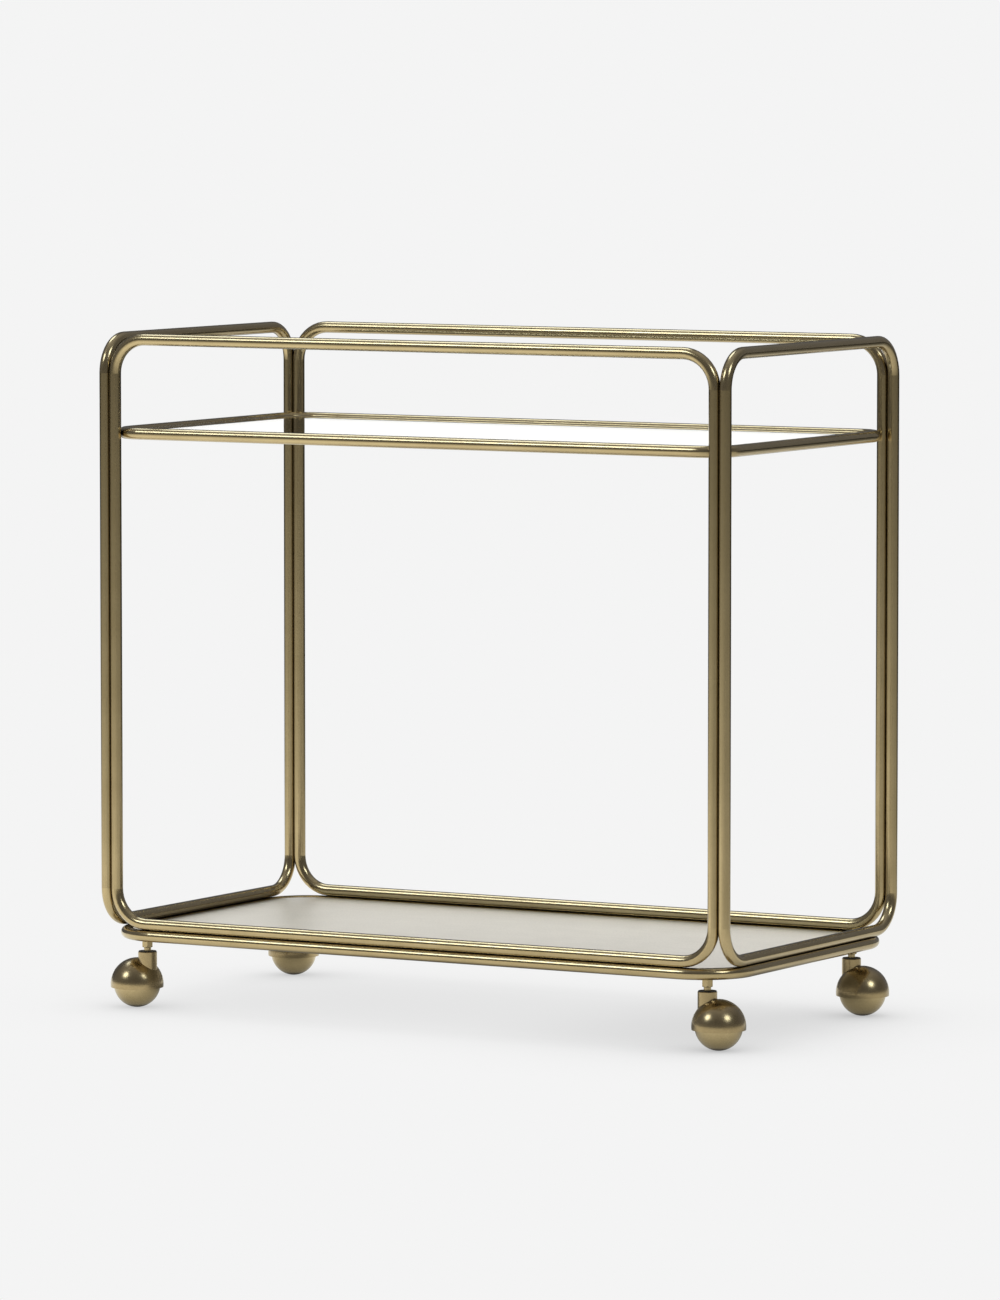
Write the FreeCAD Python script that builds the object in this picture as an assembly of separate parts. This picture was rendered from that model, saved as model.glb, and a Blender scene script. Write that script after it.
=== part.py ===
"""Bar cart on wheels: four bent-tube loops standing on a tube base ring, with a
sheet-metal lower shelf, a glass upper shelf in a second ring, and four hooded
ball casters.

Millimetres, +Z up, +X along the length of the cart. The origin is on the floor
under the middle of the cart. Casters are stored turned outward along X.
"""
import FreeCAD
import Part
import math
import os

V = FreeCAD.Vector
X, Y, Z = V(1, 0, 0), V(0, 1, 0), V(0, 0, 1)

# ---- driving dimensions ---------------------------------------------------
LENGTH = 914.0            # over the tubes, along X
DEPTH = 465.0             # over the tubes, along Y
HEIGHT = 868.5            # floor to the top of the rails
TUBE_R = 7.5              # 15 mm tube
TUBE_WALL = 1.2
WELD = 0.03               # gap left between tubes that touch, where a weld joins them
LOOP_BEND = 44.0          # centre-line bend radius of the four loops
BASE_BEND = 65.0          # centre-line corner radius of the base ring
UPPER_BEND = 38.0         # centre-line corner radius of the upper ring
RAIL_Z = 112.0            # centre of the loops' bottom rails
UPPER_Z = 740.6           # centre of the upper ring
UPPER_INSET_X = 9.0       # upper ring, inside the side loops' centre-line

SHEET = 1.5               # lower shelf
SHELF_DROP = 2.0          # shelf top below the crest of the base ring
SHELF_GAP = 7.65          # shelf edge to the ring's centre-line

GLASS_T = 4.0
GLASS_RISE = 3.3          # glass top above the centre of the upper ring
GLASS_GAP = 8.0           # glass edge to the ring's centre-line
PAD_T = 0.6
PAD_R = 3.0
PAD_REACH = 19.9          # pad centre from the ring's sharp corner, X and Y
TAB_T = 1.8
TAB_LEG = 48.0            # corner tab under the glass, along each side

BALL_R = 30.0
HOOD_R = 34.0
HOOD_T = 2.8
HOOD_RIM = 4.0            # rim below the ball's centre
TRAIL = 16.0              # swivel axis to ball centre
BALL_INSET = (24.5, 31.7)   # ball centre from the base ring's sharp corner, X and Y
BARREL_R = 12.2
BARREL_TOP = 72.6
BEARING_Z = 61.5          # bottom of the bearing hole in the barrel
BUSH_R = 6.0
FLANGE = (11.4, 1.0)      # bush flange on top of the barrel: radius, thickness
PIN_R = 4.0               # M8 stem
RUN = 0.05                # radial running clearance
SHOULDER_R = 4.6
AXLE_R = 2.5
AXLE_HALF = 32.9
SHELL_T = 1.4             # metal skin of the ball
POLE_R = 3.8              # opening in the skin round each end of the axle

PLATE_Z = 90.0            # underside of the corner plates
PLATE_T = 2.5
PLATE_LEG = 112.0
NUT_AF = 13.0
NUT_H = 10.0
WASHER = (8.0, 1.6)       # outer radius, thickness
CLIP_Z = 63.6             # underside of the stem's retaining clip
CLIP_T = 1.2

# ---- places worked out from them ------------------------------------------
HALF_X = LENGTH / 2 - TUBE_R            # side loops' plane
HALF_Y = DEPTH / 2 - TUBE_R             # front and back loops' plane
TUBE_D = 2 * TUBE_R + WELD
TOP_Z = HEIGHT - TUBE_R
BASE_Z = RAIL_Z - TUBE_D
POST_X = HALF_X - TUBE_D                # front and back loops' posts
UPPER_X = HALF_X - UPPER_INSET_X
# the upper ring's corner arc just touches the front and back loops' posts
_reach = UPPER_BEND - TUBE_D + UPPER_INSET_X
UPPER_INSET_Y = math.sqrt((UPPER_BEND + TUBE_D) ** 2 - _reach ** 2) - UPPER_BEND
UPPER_Y = HALF_Y - UPPER_INSET_Y

SHELF_TOP = BASE_Z + TUBE_R - SHELF_DROP
GLASS_TOP = UPPER_Z + GLASS_RISE
TAB_TOP = GLASS_TOP - GLASS_T - PAD_T
# the tab's top edge meets the inner side of the upper ring's tube
TAB_INSET = math.sqrt(TUBE_R ** 2 - (UPPER_Z - TAB_TOP) ** 2) + WELD
BALL_X = HALF_X - BALL_INSET[0]
BALL_Y = HALF_Y - BALL_INSET[1]
STEM_X = BALL_X - TRAIL
PLATE_TOP = PLATE_Z + PLATE_T
# the plate's top edge meets the underside of the base ring's tube
PLATE_INSET = math.sqrt(TUBE_R ** 2 - (BASE_Z - PLATE_TOP) ** 2) + WELD
NUT_Z = PLATE_Z - WASHER[1] - NUT_H
FLANGE_TOP = BARREL_TOP + FLANGE[1]
STEM_TOP = PLATE_TOP + 7.5

CORNERS = {"fl": (-1, -1), "fr": (1, -1), "bl": (-1, 1), "br": (1, 1)}


# ---- helpers --------------------------------------------------------------
def outline(centre, u, v, half_u, half_v, bend):
    """Closed rounded rectangle in the plane of u and v, from the middle of the -v side."""
    def at(a, b):
        return centre + u * a + v * b
    diag = bend * (1 - math.sqrt(0.5))
    edges = [Part.makeLine(at(0, -half_v), at(half_u - bend, -half_v))]
    turns = ((1, -1), (1, 1), (-1, 1), (-1, -1))
    for i, (su, sv) in enumerate(turns):
        before = at(su * (half_u - bend), sv * half_v)
        after = at(su * half_u, sv * (half_v - bend))
        if su * sv > 0:
            before, after = after, before
        middle = at(su * (half_u - diag), sv * (half_v - diag))
        edges.append(Part.Arc(before, middle, after).toShape())
        nu, nv = turns[(i + 1) % 4]
        if i == 3:
            target = at(0, -half_v)
        elif i % 2 == 0:
            target = at(nu * half_u, nv * (half_v - bend))
        else:
            target = at(nu * (half_u - bend), nv * half_v)
        edges.append(Part.makeLine(after, target))
    return Part.Wire(edges)


def tube_ring(centre, u, v, half_u, half_v, bend):
    """Hollow tube bent round a rounded rectangle and closed."""
    path = outline(centre, u, v, half_u, half_v, bend)
    start = centre - v * half_v
    solids = []
    for radius in (TUBE_R, TUBE_R - TUBE_WALL):
        circle = Part.Wire(Part.makeCircle(radius, start, u))
        solids.append(path.makePipeShell([circle], True, True))
    return solids[0].cut(solids[1])


def slab(half_x, half_y, bend, z0, z1):
    """Flat plate with rounded corners."""
    wire = outline(V(0, 0, z0), X, Y, half_x, half_y, bend)
    return Part.Face(wire).extrude(V(0, 0, z1 - z0))


def cyl(radius, z0, z1, x=0.0, y=0.0):
    return Part.makeCylinder(radius, z1 - z0, V(x, y, z0))


def hex_nut(across, bore, z0, z1, x, y):
    """Hexagon nut with the corners chamfered on both faces."""
    corner = across / math.sqrt(3)
    pts = [V(x + corner * math.cos(math.radians(60 * i)),
             y + corner * math.sin(math.radians(60 * i)), z0) for i in range(7)]
    body = Part.Face(Part.makePolygon(pts)).extrude(V(0, 0, z1 - z0))
    cut = corner - across / 2 + 0.3
    barrel = cyl(corner + 0.01, z0, z1, x, y)
    rims = [e for e in barrel.Edges if isinstance(e.Curve, Part.Circle)]
    return body.common(barrel.makeChamfer(cut, rims)).cut(cyl(bore, z0 - 1, z1 + 1, x, y))


def corner_piece(half_x, half_y, bend, inset, leg, z0, z1, sx, sy):
    """Plate that fills a ring's corner, cut off straight across at 45 degrees."""
    plate = slab(half_x - inset, half_y - inset, bend - inset, z0, z1)
    cx, cy = sx * half_x, sy * half_y
    pts = [V(cx, cy, z0), V(cx - sx * leg, cy, z0), V(cx, cy - sy * leg, z0), V(cx, cy, z0)]
    wedge = Part.Face(Part.makePolygon(pts)).extrude(V(0, 0, z1 - z0))
    return plate.common(wedge)


def bevel(shape, size, z):
    """Chamfer the circular edges that lie at height z."""
    edges = [e for e in shape.Edges if isinstance(e.Curve, Part.Circle)
             and abs(e.Curve.Center.z - z) < 1e-6 and abs(abs(e.Curve.Axis.z) - 1) < 1e-6]
    return shape.makeChamfer(size, edges)


def stem_place(sx, sy):
    return sx * STEM_X, sy * BALL_Y


# ---- frame ----------------------------------------------------------------
def frame_parts():
    mid_z = (RAIL_Z + TOP_Z) / 2
    half_z = (TOP_Z - RAIL_Z) / 2
    parts = {
        "base_ring": tube_ring(V(0, 0, BASE_Z), X, Y, HALF_X, HALF_Y, BASE_BEND),
        "upper_ring": tube_ring(V(0, 0, UPPER_Z), X, Y, UPPER_X, UPPER_Y, UPPER_BEND),
    }
    for name, y in (("front_loop", -HALF_Y), ("back_loop", HALF_Y)):
        parts[name] = tube_ring(V(0, y, mid_z), X, Z, POST_X, half_z, LOOP_BEND)
    for name, x in (("left_loop", -HALF_X), ("right_loop", HALF_X)):
        parts[name] = tube_ring(V(x, 0, mid_z), Y, Z, HALF_Y, half_z, LOOP_BEND)
    return parts


def lower_shelf():
    """Sheet panel with a folded-down edge, standing on the corner plates."""
    hx, hy, bend = HALF_X - SHELF_GAP, HALF_Y - SHELF_GAP, BASE_BEND - SHELF_GAP
    low = PLATE_TOP + WELD
    tray = slab(hx, hy, bend, low, SHELF_TOP)
    inside = slab(hx - SHEET, hy - SHEET, bend - SHEET, low - 1, SHELF_TOP - SHEET)
    tray = tray.cut(inside)
    rim = [e for e in tray.Edges if all(abs(p.Point.z - SHELF_TOP) < 1e-6 for p in e.Vertexes)]
    return tray.makeFillet(1.2, rim)


def glass_parts():
    hx, hy, bend = UPPER_X - GLASS_GAP, UPPER_Y - GLASS_GAP, UPPER_BEND - GLASS_GAP
    low = GLASS_TOP - GLASS_T
    glass = slab(hx, hy, bend, low, GLASS_TOP)
    arrises = [e for e in glass.Edges
               if abs(e.Vertexes[0].Point.z - e.Vertexes[-1].Point.z) < 1e-6]
    glass = glass.makeChamfer(0.6, arrises)
    tabs, pads = [], []
    for sx, sy in CORNERS.values():
        tabs.append(corner_piece(UPPER_X, UPPER_Y, UPPER_BEND, TAB_INSET, TAB_LEG,
                                 TAB_TOP - TAB_T, TAB_TOP, sx, sy))
        x, y = sx * (UPPER_X - PAD_REACH), sy * (UPPER_Y - PAD_REACH)
        pads.append(cyl(PAD_R, TAB_TOP, low, x, y))
    return {"glass_shelf": glass, "glass_tabs": Part.makeCompound(tabs),
            "glass_pads": Part.makeCompound(pads)}


def corner_plates():
    plates = {}
    for name, (sx, sy) in CORNERS.items():
        plate = corner_piece(HALF_X, HALF_Y, BASE_BEND, PLATE_INSET, PLATE_LEG,
                             PLATE_Z, PLATE_TOP, sx, sy)
        x, y = stem_place(sx, sy)
        plates["corner_plate_" + name] = plate.cut(cyl(PIN_R + 0.2, PLATE_Z - 1, PLATE_TOP + 1, x, y))
    return plates


# ---- casters --------------------------------------------------------------
def stem(x, y):
    """Threaded stem with a shoulder over the barrel and a clip groove near its end."""
    body = cyl(PIN_R, BEARING_Z + 0.4, STEM_TOP, x, y)
    body = body.fuse(cyl(SHOULDER_R, FLANGE_TOP + RUN, NUT_Z - WELD, x, y)).removeSplitter()
    groove = cyl(PIN_R + 1, CLIP_Z, CLIP_Z + CLIP_T, x, y).cut(
        cyl(PIN_R - 0.8, CLIP_Z - 1, CLIP_Z + CLIP_T + 1, x, y))
    return bevel(body.cut(groove), 0.8, STEM_TOP)


def stem_clip(x, y):
    """Open spring ring in the stem's groove."""
    ring = cyl(PIN_R + 0.7, CLIP_Z + 0.02, CLIP_Z + CLIP_T - 0.02, x, y)
    ring = ring.cut(cyl(PIN_R - 0.78, CLIP_Z - 1, CLIP_Z + CLIP_T + 1, x, y))
    return ring.cut(Part.makeBox(8, 2.4, 4, V(x, y - 1.2, CLIP_Z - 1)))


def swivel_bush(x, y):
    """Flanged plastic sleeve in the barrel, with an inner groove that the clip runs in."""
    bush = cyl(BUSH_R - 0.02, BEARING_Z + 0.02, BARREL_TOP + 0.5, x, y)
    bush = bush.fuse(cyl(FLANGE[0], BARREL_TOP + 0.01, FLANGE_TOP, x, y)).removeSplitter()
    bush = bush.cut(cyl(PIN_R + RUN, BEARING_Z - 1, FLANGE_TOP + 1, x, y))
    return bush.cut(cyl(PIN_R + 0.9, CLIP_Z - 0.2, CLIP_Z + CLIP_T + 0.2, x, y))


def hood(x, y, side):
    """Half-ball hood with an upright barrel beside its crown; open below."""
    ball_x = x + side * TRAIL
    centre = V(ball_x, y, BALL_R)
    barrel = bevel(cyl(BARREL_R, BALL_R, BARREL_TOP, x, y), 0.5, BARREL_TOP)
    # the barrel grows out of the shell, so it stops at the cavity
    shell = Part.makeSphere(HOOD_R, centre).fuse(barrel)
    shell = shell.cut(Part.makeSphere(HOOD_R - HOOD_T, centre))
    keep = cyl(2 * HOOD_R, BALL_R - HOOD_RIM, BARREL_TOP + 10, ball_x, y)
    shell = shell.common(keep)
    shell = shell.cut(cyl(BUSH_R, BEARING_Z, BARREL_TOP + 1, x, y))
    # blind holes for the ends of the axle
    hole = Part.makeCylinder(AXLE_R, 2 * AXLE_HALF + 0.1, V(ball_x, y - AXLE_HALF - 0.05, BALL_R), Y)
    return shell.cut(hole)


def axle(x, y, side):
    ball_x = x + side * TRAIL
    pin = Part.makeCylinder(AXLE_R - 0.02, 2 * AXLE_HALF, V(ball_x, y - AXLE_HALF, BALL_R), Y)
    ends = [e for e in pin.Edges if isinstance(e.Curve, Part.Circle)]
    return pin.makeChamfer(0.4, ends)


def ball_parts(x, y, side):
    """Metal skin with an opening at each pole, and the plastic core that fills it."""
    centre = V(x + side * TRAIL, y, BALL_R)
    poles = Part.makeCylinder(POLE_R, 2 * BALL_R, centre - Y * BALL_R, Y)
    ball = Part.makeSphere(BALL_R, centre)
    skin = ball.cut(Part.makeSphere(BALL_R - SHELL_T, centre)).cut(poles)
    core = Part.makeSphere(BALL_R - SHELL_T - 0.02, centre)
    hub = Part.makeCylinder(POLE_R - 0.02, 58.0, centre - Y * 29.0, Y)
    bore = Part.makeCylinder(AXLE_R - 0.02 + RUN, 80.0, centre - Y * 40.0, Y)
    return skin, core.fuse(hub).removeSplitter().cut(bore)


def caster_parts():
    parts = {}
    nuts, washers, weld_nuts, clips = [], [], [], []
    for name, (sx, sy) in CORNERS.items():
        x, y = stem_place(sx, sy)
        skin, core = ball_parts(x, y, sx)
        parts["stem_" + name] = stem(x, y)
        parts["swivel_bush_" + name] = swivel_bush(x, y)
        parts["hood_" + name] = hood(x, y, sx)
        parts["axle_" + name] = axle(x, y, sx)
        parts["ball_skin_" + name] = skin
        parts["ball_core_" + name] = core
        nuts.append(hex_nut(NUT_AF, PIN_R + 0.02, NUT_Z, NUT_Z + NUT_H - WELD, x, y))
        ring = cyl(WASHER[0], PLATE_Z - WASHER[1], PLATE_Z - WELD, x, y)
        washers.append(ring.cut(cyl(PIN_R + 0.2, PLATE_Z - 5, PLATE_Z + 5, x, y)))
        weld_nuts.append(hex_nut(NUT_AF, PIN_R + 0.02, PLATE_TOP + WELD, PLATE_TOP + 6.5, x, y))
        clips.append(stem_clip(x, y))
    parts["jam_nuts"] = Part.makeCompound(nuts)
    parts["washers"] = Part.makeCompound(washers)
    parts["weld_nuts"] = Part.makeCompound(weld_nuts)
    parts["stem_clips"] = Part.makeCompound(clips)
    return parts


def main():
    os.makedirs("parts", exist_ok=True)
    parts = frame_parts()
    parts["lower_shelf"] = lower_shelf()
    parts.update(glass_parts())
    parts.update(corner_plates())
    parts.update(caster_parts())
    for name, shape in sorted(parts.items()):
        shape.exportStep("parts/" + name + ".step")


main()
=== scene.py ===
"""Looks of the bar cart: antique brass tubes and casters, a satin sheet-metal shelf
and a clear glass shelf, on a plain pale floor in soft studio light. Metres."""
import bpy
import math
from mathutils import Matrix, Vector


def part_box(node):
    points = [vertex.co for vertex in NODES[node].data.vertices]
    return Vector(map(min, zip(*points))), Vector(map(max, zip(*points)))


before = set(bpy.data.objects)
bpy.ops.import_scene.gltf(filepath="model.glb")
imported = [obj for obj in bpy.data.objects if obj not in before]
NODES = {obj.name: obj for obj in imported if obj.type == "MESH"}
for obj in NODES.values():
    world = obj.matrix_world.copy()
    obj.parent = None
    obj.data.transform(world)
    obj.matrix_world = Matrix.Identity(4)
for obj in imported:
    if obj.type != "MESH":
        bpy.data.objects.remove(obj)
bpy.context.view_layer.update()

# ---- camera ----------------------------------------------------------------
CAMERA_AZIMUTH = math.radians(29.92)   # to the right of the cart's front
CAMERA_DISTANCE = 9.959                # from the cart's middle, along the floor
CAMERA_HEIGHT = 1.287
AIM = Vector((0.002, 0.001, 0.4645))
CAMERA_LENS = 216.7
CAMERA_SEES_TO = 300.0

# ---- studio ----------------------------------------------------------------
BACKDROP_SHADE = (0.905, 0.905, 0.905)      # what the camera sees behind the cart
# soft shadows: how much darker the floor gets where the cart closes in over it
CLOSE_BY = 0.10                             # round the casters,
CLOSE_SEEN, CLOSE_REFLECTED = 0.28, 0.85    # as the camera sees it and as metal reflects it
SHELF_OVER = 0.30                           # and under the whole cart,
SHELF_LEFT, SHELF_RIGHT = 0.15, 0.29        # at its left and right, away from the light
SHELF_SIDES = (0.0, 0.45)                   # between these places along X
FLOOR_SIZE = 120.0
# the floor as metal reflects it: a pool of light that fades with distance, and sooner behind
# the cart to its right, where the backdrop's paper ends
POOL_MIDDLE = (-0.8, -0.9, 0.0)
POOL_REACH = (1.5, 8.5)                     # half of it fades soon, and half far out
POOL_SHADE = (1.12, 1.10, 0.98)
PAPER_EDGE = (1.0, 2.4)                     # how far to the right the paper ends,
PAPER_BEHIND = (0.0, 0.6)                   # which shows only this far behind the cart,
PAPER_PAST = 0.3                            # and what is left of the light past it
PAPER_BACK = (1.4, 3.0)                     # how far behind the cart it ends, all the way across,
BACK_PAST = 0.15                            # and what is left of the light there
UNDER = 0.18                                # under the cart the floor is dim,
UNDER_SIZE = (0.54, 0.25)                   # over an oval with these half axes,
UNDER_EDGE = (0.7, 1.3)                     # whose edge is soft between these shares of them
# metal over the glass shelf sees the floor through it, dimmer
THROUGH_GLASS = 0.25
# close to the cart the floor is dimmer on the camera's side, except to the left: what is left of
# the light, and where that changes going right, going behind the cart, and going away from it
NEAR_SIDE = 0.85
NEAR_RIGHT = (-1.0, -0.3)
NEAR_BEHIND = (0.0, 0.8)
NEAR_OUT = (2.5, 6.5)
# name: direction towards the lamp (azimuth from the front, elevation), spread, and brightness
# of its face
LAMPS = {
    "key": (-33.0, 38.0, 19.5, 4.5),
    "side": (74.0, 39.0, 20.0, 4.3),
    "top": (-122.0, 59.0, 27.0, 2.3),
}
LAMP_COLOUR = (0.90, 1.0, 1.06)
# the lower shelf shines more than the tubes: two wide lamps for that piece alone, one on the
# backdrop's side and one opposite
SHEET_LAMPS = {
    "sheet_back": (-134.0, 34.0, 76.0, 1.0),
    "sheet_front": (46.0, 34.0, 76.0, 0.6),
}
SHEET_LAMP_COLOUR = (1.0, 0.99, 0.975)
# what lies round the cart above the floor, by elevation in degrees
SURROUNDINGS = (
    (-2, (0.14, 0.14, 0.14)), (3, (0.15, 0.15, 0.155)), (30, (0.16, 0.16, 0.165)),
    (55, (0.28, 0.28, 0.29)), (90, (0.50, 0.50, 0.50)),
)
# the lit backdrop, as glass reflects it: its middle is to the left of straight behind the cart
BACKDROP_GLEAM = (1.20, 1.19, 1.17)
BACKDROP_IN_BRASS = 0.04                    # and how much of that the brass shows
# the surroundings are darker on the camera's side, and more so towards the backdrop's middle.
# These are cosines of the angle from that middle, seen from above, between which it changes
CAMERA_SIDE = 0.72
CAMERA_SIDE_EDGE = (-0.4, 0.3)
FAR_SIDE = 0.35
FAR_SIDE_EDGE = (0.72, 0.95)
BACKDROP_TURN = 17.0
BACKDROP_HALF_WIDTH = (20.0, 36.0)          # degrees from its middle: fully lit, and dark
BACKDROP_TOP = (46.0, 58.0)                 # the same for elevation
BACKDROP_FOOT = 0.03                        # it fades in from the horizon to this sine of elevation

# ---- metals ----------------------------------------------------------------
BRASS = (0.575, 0.456, 0.25)
BRASS_DARK = (0.40, 0.305, 0.14)
SHADED_HOOD_BRASS = (0.50, 0.385, 0.20)                  # the hoods: a darker copy of the caster brass, painted shade for the dim surroundings they reflect
SHADED_HOOD_BRASS_DARK = (0.31, 0.225, 0.10)
SHEET = (0.64, 0.60, 0.51)
SHEET_DARK = (0.38, 0.355, 0.295)
GAP = 0.006                                 # how near another surface has to be for the painted gap shade to darken the metal
# the near-black painted shade that stands in for the shade in the gaps between parts
PAINTED_GAP_SHADE = (0.02, 0.015, 0.01)
GAP_SHADE_OPENNESS = (0.05, 0.75)                 # where the painted gap shade is whole, and where it is gone
# the shorter reach for the lower shelf, so its painted gap shade is only a thin line
SHEET_GAP = 0.0005
CLOUD_SCALE = 18.0                          # uneven patina,
SPECK_SCALE = 420.0                         # fine grain,
GRAIN_SCALE = 160.0                         # and the streaks of pieces with no polishing lines
PATINA = 0.30                               # how far the metal is on its way to its dark colour
STREAK_SWING = 0.25
ROUGH_SWING = 0.05
LOOP_TURNS_AT = 0.436                       # how far out in X the rails of the loops turn,
RING_TURNS_AT = 0.40                        # and those of the rings,
TURN_WIDTH = 0.008                          # over this much of X
POST_TURN = 0.05                            # how much of the height a loop's bends take up
LINES_ALONG, LINES_ACROSS = 14, 700         # how fine the polishing lines are each way
GLASS_TINT = (0.96, 0.985, 0.975)


class Nodes:
    """A short way to build a node tree."""

    def __init__(self, tree):
        self.tree = tree
        tree.nodes.clear()

    def add(self, kind, settings=None, **inputs):
        node = self.tree.nodes.new(kind)
        for key, value in (settings or {}).items():
            setattr(node, key, value)
        for key, value in inputs.items():
            self.put(node, key.replace("_", " "), value)
        return node

    def put(self, node, key, value):
        target = node.inputs[int(key)] if key.isdigit() else node.inputs[key]
        if isinstance(value, bpy.types.NodeSocket):
            self.tree.links.new(value, target)
        else:
            target.default_value = value

    def math(self, operation, a, b=None, c=None, clamp=False):
        node = self.add("ShaderNodeMath", {"operation": operation, "use_clamp": clamp})
        for i, value in enumerate((a, b, c)):
            if value is not None:
                self.put(node, str(i), value)
        return node.outputs[0]

    def smooth(self, value, low, high, to_low=0.0, to_high=1.0):
        node = self.add("ShaderNodeMapRange", {"interpolation_type": "SMOOTHSTEP"})
        for key, v in (("Value", value), ("From Min", low), ("From Max", high),
                       ("To Min", to_low), ("To Max", to_high)):
            self.put(node, key, v)
        return node.outputs[0]

    def mix(self, factor, a, b):
        node = self.add("ShaderNodeMix", {"data_type": "RGBA"})
        self.put(node, "0", factor)
        self.put(node, "6", a)
        self.put(node, "7", b)
        return node.outputs[2]

    def blend(self, factor, a, b):
        node = self.add("ShaderNodeMix", {"data_type": "FLOAT"})
        self.put(node, "0", factor)
        self.put(node, "2", a)
        self.put(node, "3", b)
        return node.outputs[0]

    def noise(self, vector, scale, detail, roughness):
        node = self.add("ShaderNodeTexNoise", None, Scale=scale, Detail=detail, Roughness=roughness)
        self.put(node, "Vector", vector)
        return node.outputs["Fac"]

    def about_zero(self, value, amount):
        """A 0 to 1 value turned into one that swings by amount on each side of 0."""
        return self.math("MULTIPLY", self.math("SUBTRACT", value, 0.5), 2 * amount)

    def looked_at(self):
        """1 for what the camera sees, straight or through glass, and 0 for light and reflections."""
        path = self.add("ShaderNodeLightPath")
        turned = self.math("ADD", path.outputs["Glossy Depth"], path.outputs["Diffuse Depth"])
        return self.math("LESS_THAN", turned, 0.5)

    def stretch(self, vector, scale):
        node = self.add("ShaderNodeVectorMath", {"operation": "MULTIPLY"})
        self.put(node, "0", vector)
        self.put(node, "1", scale)
        return node.outputs[0]


def rgba(colour):
    return (*colour, 1.0)


# ---- stage -------------------------------------------------------------------
def build_world():
    """Soft studio round the cart: a lit backdrop behind it, and darker surroundings."""
    world = bpy.data.worlds.new("studio")
    bpy.context.scene.world = world
    world.use_nodes = True
    n = Nodes(world.node_tree)
    direction = n.add("ShaderNodeTexCoord").outputs["Generated"]
    parts = n.add("ShaderNodeSeparateXYZ", None, Vector=direction)
    up = parts.outputs["Z"]
    ramp = n.add("ShaderNodeValToRGB", None, Fac=n.math("MULTIPLY_ADD", up, 0.5, 0.5))
    elements = ramp.color_ramp.elements
    while len(elements) < len(SURROUNDINGS):
        elements.new(0.5)
    for element, (elevation, colour) in zip(elements, SURROUNDINGS):
        element.position = math.sin(math.radians(elevation)) * 0.5 + 0.5
        element.color = rgba(colour)
    # lit backdrop: behind the cart as the camera faces it
    turn = CAMERA_AZIMUTH + math.radians(BACKDROP_TURN)
    back = Vector((-math.sin(turn), math.cos(turn), 0.0))
    along = n.add("ShaderNodeVectorMath", {"operation": "DOT_PRODUCT"})
    n.put(along, "0", direction)
    n.put(along, "1", back)
    flat = n.math("SQRT", n.math("SUBTRACT", 1.0, n.math("MULTIPLY", up, up), clamp=True))
    facing = n.math("DIVIDE", along.outputs["Value"], n.math("MAXIMUM", flat, 0.001))
    lit, dark = (math.cos(math.radians(a)) for a in BACKDROP_HALF_WIDTH)
    width = n.smooth(facing, dark, lit)
    above = n.smooth(up, 0.0, BACKDROP_FOOT)
    top = [math.sin(math.radians(a)) for a in BACKDROP_TOP]
    below_top = n.smooth(up, *top, 1.0, 0.0)
    patch = n.math("MULTIPLY", width, n.math("MULTIPLY", above, below_top))
    # a mirror-like ray comes off the glass, and shows the patch in full
    mirrored = n.add("ShaderNodeLightPath").outputs["Is Singular Ray"]
    patch = n.math("MULTIPLY", patch, n.blend(mirrored, BACKDROP_IN_BRASS, 1.0))
    far_side = n.smooth(facing, *FAR_SIDE_EDGE)
    camera_side = n.smooth(facing, *CAMERA_SIDE_EDGE, CAMERA_SIDE, 1.0)
    dim = n.blend(far_side, camera_side, FAR_SIDE)
    round_about = n.stretch(ramp.outputs["Color"], dim)
    studio = n.mix(patch, round_about, rgba(BACKDROP_GLEAM))
    # the camera itself sees a plain pale backdrop in every direction
    shown = n.mix(n.looked_at(), studio, rgba(BACKDROP_SHADE))
    background = n.add("ShaderNodeBackground", None, Color=shown)
    output = n.add("ShaderNodeOutputWorld")
    n.put(output, "Surface", background.outputs[0])


def add_lamp(name, azimuth, elevation, spread, brightness, colour):
    lamp = bpy.data.lights.new(name, "SUN")
    lamp.angle = math.radians(spread)
    lamp.color = colour
    lamp.energy = brightness * math.pi * math.sin(lamp.angle / 2) ** 2
    obj = bpy.data.objects.new(name, lamp)
    a, e = math.radians(azimuth), math.radians(elevation)
    towards = Vector((math.sin(a) * math.cos(e), -math.cos(a) * math.cos(e), math.sin(e)))
    obj.rotation_euler = towards.to_track_quat("Z", "Y").to_euler()
    obj.visible_diffuse = False      # the lamps give gloss
    bpy.context.scene.collection.objects.link(obj)
    return obj


def build_lamps():
    for name, settings in LAMPS.items():
        add_lamp(name, *settings, LAMP_COLOUR)
    only = bpy.data.collections.new("sheet_only")
    only.objects.link(NODES["lower_shelf"])
    for name, settings in SHEET_LAMPS.items():
        shine = add_lamp(name, *settings, SHEET_LAMP_COLOUR)
        shine.light_linking.receiver_collection = only


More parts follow.
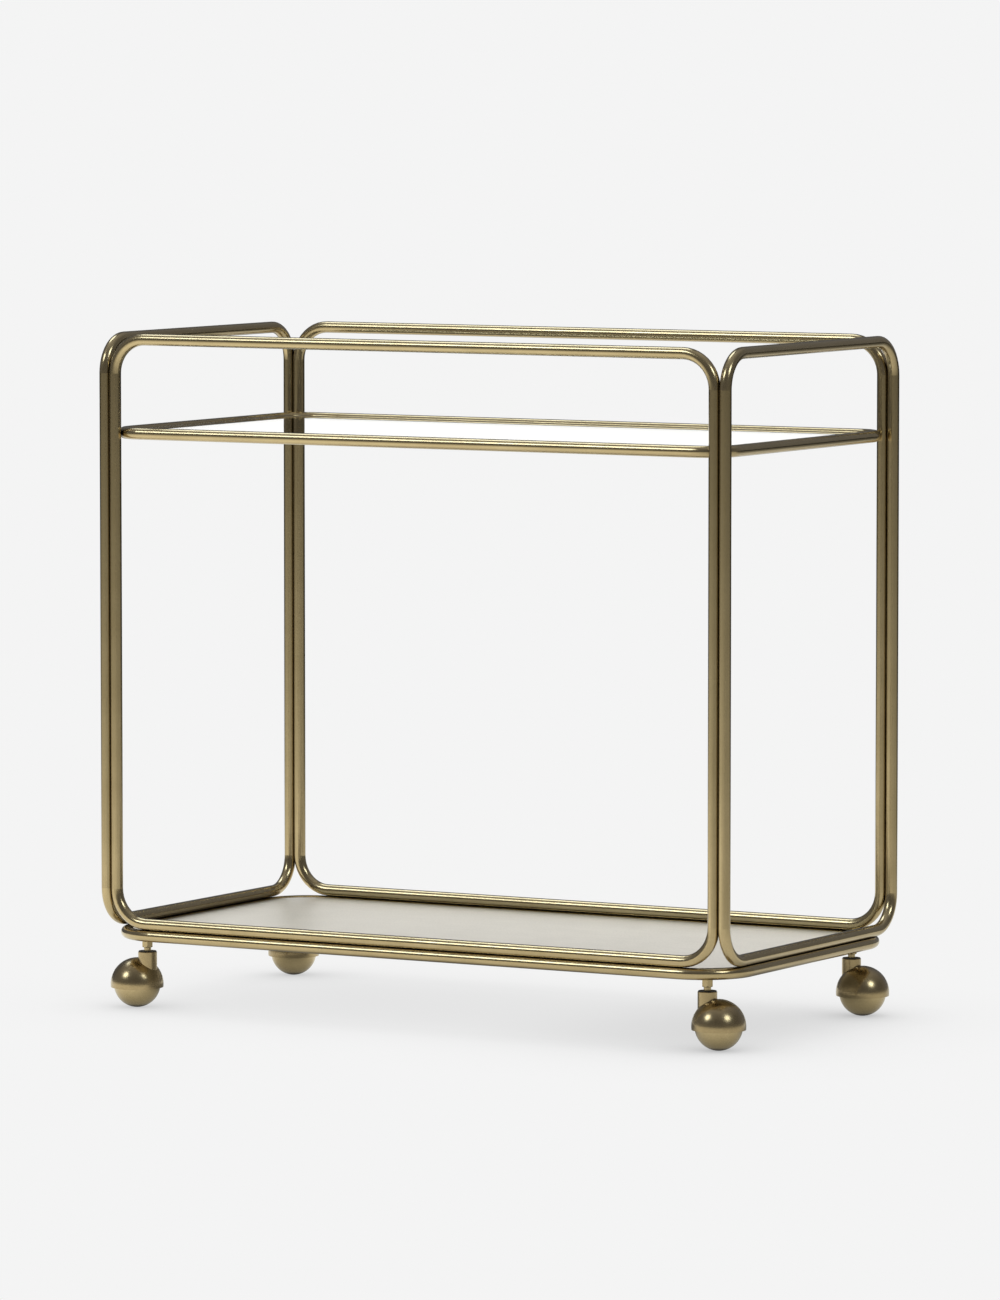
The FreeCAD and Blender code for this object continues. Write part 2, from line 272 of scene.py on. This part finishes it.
def pool_share(n, place):
    """How bright the floor is in reflections at a place on it, as a share of the pool's middle."""
    away = n.add("ShaderNodeVectorMath", {"operation": "DISTANCE"})
    n.put(away, "0", place)
    n.put(away, "1", POOL_MIDDLE)
    fades = []
    for reach in POOL_REACH:
        far = n.math("DIVIDE", away.outputs["Value"], reach)
        fades.append(n.math("DIVIDE", 0.5, n.math("MULTIPLY_ADD", far, far, 1.0)))
    fade = n.math("ADD", *fades)
    sine, cosine = math.sin(CAMERA_AZIMUTH), math.cos(CAMERA_AZIMUTH)
    right, behind = (n.add("ShaderNodeVectorMath", {"operation": "DOT_PRODUCT"}) for _ in range(2))
    for node, direction in ((right, (cosine, sine, 0.0)), (behind, (-sine, cosine, 0.0))):
        n.put(node, "0", place)
        n.put(node, "1", direction)
    right, behind = right.outputs["Value"], behind.outputs["Value"]
    past = n.math("MULTIPLY", n.smooth(right, *PAPER_EDGE), n.smooth(behind, *PAPER_BEHIND))
    fade = n.math("MULTIPLY", fade, n.blend(past, 1.0, PAPER_PAST))
    fade = n.math("MULTIPLY", fade, n.smooth(behind, *PAPER_BACK, 1.0, BACK_PAST))
    inward = n.add("ShaderNodeVectorMath", {"operation": "LENGTH"})
    n.put(inward, "0", n.stretch(place, (1 / UNDER_SIZE[0], 1 / UNDER_SIZE[1], 1.0)))
    under = n.smooth(inward.outputs["Value"], *UNDER_EDGE, UNDER, 1.0)
    fade = n.math("MULTIPLY", fade, under)
    out = n.add("ShaderNodeVectorMath", {"operation": "LENGTH"})
    n.put(out, "0", place)
    near = n.math("MULTIPLY", n.smooth(right, *NEAR_RIGHT), n.smooth(behind, *NEAR_BEHIND, 1.0, 0.0))
    near = n.math("MULTIPLY", near, n.smooth(out.outputs["Value"], *NEAR_OUT, 1.0, 0.0))
    return n.math("MULTIPLY", fade, n.blend(near, 1.0, NEAR_SIDE))


def open_share(n, distance, samples=4):
    """1 on a surface with nothing near it, down to 0 deep in a gap."""
    node = n.add("ShaderNodeAmbientOcclusion", {"samples": samples}, Distance=distance)
    return node.outputs["AO"]


def build_floor():
    """A pale floor as bright as the backdrop, with soft shadows under and round the cart."""
    half = FLOOR_SIZE / 2
    mesh = bpy.data.meshes.new("floor")
    mesh.from_pydata([(-half, -half, 0), (half, -half, 0), (half, half, 0), (-half, half, 0)],
                     [], [(0, 1, 2, 3)])
    floor = bpy.data.objects.new("floor", mesh)
    bpy.context.scene.collection.objects.link(floor)
    material = bpy.data.materials.new("pale_floor")
    material.use_nodes = True
    n = Nodes(material.node_tree)
    place = n.add("ShaderNodeTexCoord").outputs["Object"]
    # the camera sees an even floor, and metal reflects the pool of light on it
    seen = n.looked_at()
    share = n.blend(seen, pool_share(n, place), 1.0)
    shade = n.mix(seen, rgba(POOL_SHADE), rgba(BACKDROP_SHADE))
    passed = n.add("ShaderNodeLightPath").outputs["Transmission Depth"]
    through = n.math("GREATER_THAN", passed, 0.5)
    through = n.math("MULTIPLY", through, n.math("SUBTRACT", 1.0, seen))
    share = n.math("MULTIPLY", share, n.blend(through, 1.0, THROUGH_GLASS))
    sideways = n.add("ShaderNodeSeparateXYZ", None, Vector=place).outputs["X"]
    round_casters = n.blend(seen, CLOSE_REFLECTED, CLOSE_SEEN)
    under_shelf = n.smooth(sideways, *SHELF_SIDES, SHELF_LEFT, SHELF_RIGHT)
    under_shelf = n.math("MULTIPLY", under_shelf, seen)
    for distance, depth in ((CLOSE_BY, round_casters), (SHELF_OVER, under_shelf)):
        closed = n.math("SUBTRACT", 1.0, open_share(n, distance, 8))
        share = n.math("MULTIPLY", share, n.math("SUBTRACT", 1.0, n.math("MULTIPLY", closed, depth)))
    glow = n.add("ShaderNodeEmission", None, Color=shade, Strength=share)
    output = n.add("ShaderNodeOutputMaterial")
    n.put(output, "Surface", glow.outputs[0])
    mesh.materials.append(material)


def build_camera():
    data = bpy.data.cameras.new("camera")
    data.lens = CAMERA_LENS
    data.clip_end = CAMERA_SEES_TO
    camera = bpy.data.objects.new("camera", data)
    camera.location = (CAMERA_DISTANCE * math.sin(CAMERA_AZIMUTH),
                       -CAMERA_DISTANCE * math.cos(CAMERA_AZIMUTH), CAMERA_HEIGHT)
    look = camera.location - AIM
    camera.rotation_euler = look.to_track_quat("Z", "Y").to_euler()
    bpy.context.scene.collection.objects.link(camera)
    bpy.context.scene.camera = camera


# ---- materials -----------------------------------------------------------------
def run_lines(n, place, upright, end_at):
    """Fine polishing lines along each run of tube. end_at is how far out in X the runs turn to
    lie along Y; upright says whether the piece has posts between its rails."""
    parts = n.add("ShaderNodeSeparateXYZ", None, Vector=place)
    along_x, along_y, along_z = (
        n.noise(n.stretch(place, scale), 1.0, 2.0, 0.6)
        for scale in ((LINES_ALONG, LINES_ACROSS, LINES_ACROSS),
                      (LINES_ACROSS, LINES_ALONG, LINES_ACROSS),
                      (LINES_ACROSS, LINES_ACROSS, LINES_ALONG)))
    across = n.smooth(n.math("ABSOLUTE", parts.outputs["X"]), end_at, end_at + TURN_WIDTH)
    lines = n.blend(across, along_x, along_y)
    if upright:
        bottom, top = (corner.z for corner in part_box("front_loop"))
        height = parts.outputs["Z"]
        between = n.math("MULTIPLY", n.smooth(height, bottom, bottom + POST_TURN),
                         n.smooth(height, top - POST_TURN, top, 1.0, 0.0))
        lines = n.blend(between, lines, along_z)
    return lines


def metal(name, roughness, lines=None, light=BRASS, dark=BRASS_DARK, coat_roughness=0.15,
          gap=GAP, clouds=0.5, specks=0.22):
    """Satin metal under clear lacquer: uneven patina, fine grain, and polishing lines. Where another
    surface is nearer than gap it turns to a near-black painted shade, standing in for the shade in
    the gaps between parts, and loses its lacquer there."""
    material = bpy.data.materials.new(name)
    material.use_nodes = True
    n = Nodes(material.node_tree)
    place = n.add("ShaderNodeTexCoord").outputs["Object"]
    cloud = n.noise(place, CLOUD_SCALE, 4.0, 0.55)
    speck = n.noise(place, SPECK_SCALE, 3.0, 0.6)
    streak = lines(n, place) if lines else n.noise(place, GRAIN_SCALE, 3.0, 0.6)
    patina = n.math("ADD", n.about_zero(cloud, clouds), n.about_zero(speck, specks))
    patina = n.math("ADD", patina, n.about_zero(streak, STREAK_SWING))
    patina = n.math("ADD", patina, PATINA, clamp=True)
    # painted shade: the metal turns near black, and loses its lacquer, where another surface is
    # nearer than gap
    unshaded = n.smooth(open_share(n, gap), *GAP_SHADE_OPENNESS)
    colour = n.mix(unshaded, rgba(PAINTED_GAP_SHADE), n.mix(patina, rgba(light), rgba(dark)))
    rough = n.math("ADD", n.about_zero(cloud, ROUGH_SWING), n.about_zero(streak, ROUGH_SWING))
    rough = n.math("ADD", rough, roughness, clamp=True)
    bump = n.add("ShaderNodeBump", None, Strength=0.04, Distance=0.0002, Height=streak)
    shader = n.add("ShaderNodeBsdfPrincipled", None, Metallic=1.0)
    n.put(shader, "Base Color", colour)
    n.put(shader, "Roughness", rough)
    n.put(shader, "Normal", bump.outputs[0])
    n.put(shader, "Coat Weight", unshaded)
    n.put(shader, "Coat Roughness", coat_roughness)
    output = n.add("ShaderNodeOutputMaterial")
    n.put(output, "Surface", shader.outputs[0])
    return material


def glass():
    material = bpy.data.materials.new("clear_glass")
    material.use_nodes = True
    n = Nodes(material.node_tree)
    shader = n.add("ShaderNodeBsdfPrincipled", None, Roughness=0.0, IOR=1.5)
    n.put(shader, "Base Color", rgba(GLASS_TINT))
    n.put(shader, "Transmission Weight", 1.0)
    output = n.add("ShaderNodeOutputMaterial")
    n.put(output, "Surface", shader.outputs[0])
    return material


def plain(name, colour, roughness, metallic=0.0):
    """A finely speckled material for small pieces that hardly show."""
    material = bpy.data.materials.new(name)
    material.use_nodes = True
    n = Nodes(material.node_tree)
    place = n.add("ShaderNodeTexCoord").outputs["Object"]
    speck = n.noise(place, 300.0, 3.0, 0.6)
    shade = n.mix(n.math("MULTIPLY", speck, 0.35), rgba(colour), rgba([c * 0.6 for c in colour]))
    bump = n.add("ShaderNodeBump", None, Strength=0.1, Distance=0.0003, Height=speck)
    shader = n.add("ShaderNodeBsdfPrincipled", None, Roughness=roughness, Metallic=metallic)
    n.put(shader, "Base Color", shade)
    n.put(shader, "Normal", bump.outputs[0])
    output = n.add("ShaderNodeOutputMaterial")
    n.put(output, "Surface", shader.outputs[0])
    return material


def loop_lines(n, place):
    return run_lines(n, place, True, LOOP_TURNS_AT)


def ring_lines(n, place):
    return run_lines(n, place, False, RING_TURNS_AT)


def sheet_lines(n, place):
    """Rolling lines along the length of the lower shelf."""
    return n.noise(n.stretch(place, (9, 380, 380)), 1.0, 3.0, 0.6)


def dress():
    """Make the materials and give each piece its own."""
    loops = metal("antique_brass_loops", 0.21, loop_lines)
    rings = metal("antique_brass_rings", 0.21, ring_lines)
    caster = metal("antique_brass_caster", 0.25, coat_roughness=0.18)
    # the hoods get a darker copy of the caster brass: painted shade for the dim surroundings they
    # reflect
    hood = metal("antique_brass_hoods_shaded", 0.25, light=SHADED_HOOD_BRASS, dark=SHADED_HOOD_BRASS_DARK, coat_roughness=0.24)
    sheet = metal("satin_sheet", 0.58, sheet_lines, light=SHEET, dark=SHEET_DARK,
                  coat_roughness=0.42, gap=SHEET_GAP, clouds=0.12, specks=0.7)
    clear = glass()
    pad = plain("clear_pad", (0.75, 0.76, 0.75), 0.4)
    nylon = plain("dark_nylon", (0.03, 0.03, 0.03), 0.5)
    steel = plain("zinc_steel", (0.55, 0.55, 0.54), 0.35, 1.0)
    by_start = (("glass_shelf", clear), ("glass_pads", pad), ("lower_shelf", sheet),
                ("swivel_bush", nylon), ("ball_core", nylon), ("axle", steel),
                ("stem_clips", steel), ("weld_nuts", steel), ("hood", hood),
                ("ball_skin", caster), ("stem", caster), ("jam_nuts", caster), ("washers", caster),
                ("front_loop", loops), ("back_loop", loops), ("left_loop", loops),
                ("right_loop", loops))
    for name, obj in NODES.items():
        chosen = next((m for start, m in by_start if name.startswith(start)), rings)
        obj.data.materials.clear()
        obj.data.materials.append(chosen)


build_world()
build_lamps()
build_floor()
build_camera()
dress()
bpy.context.scene.view_settings.view_transform = "Standard"
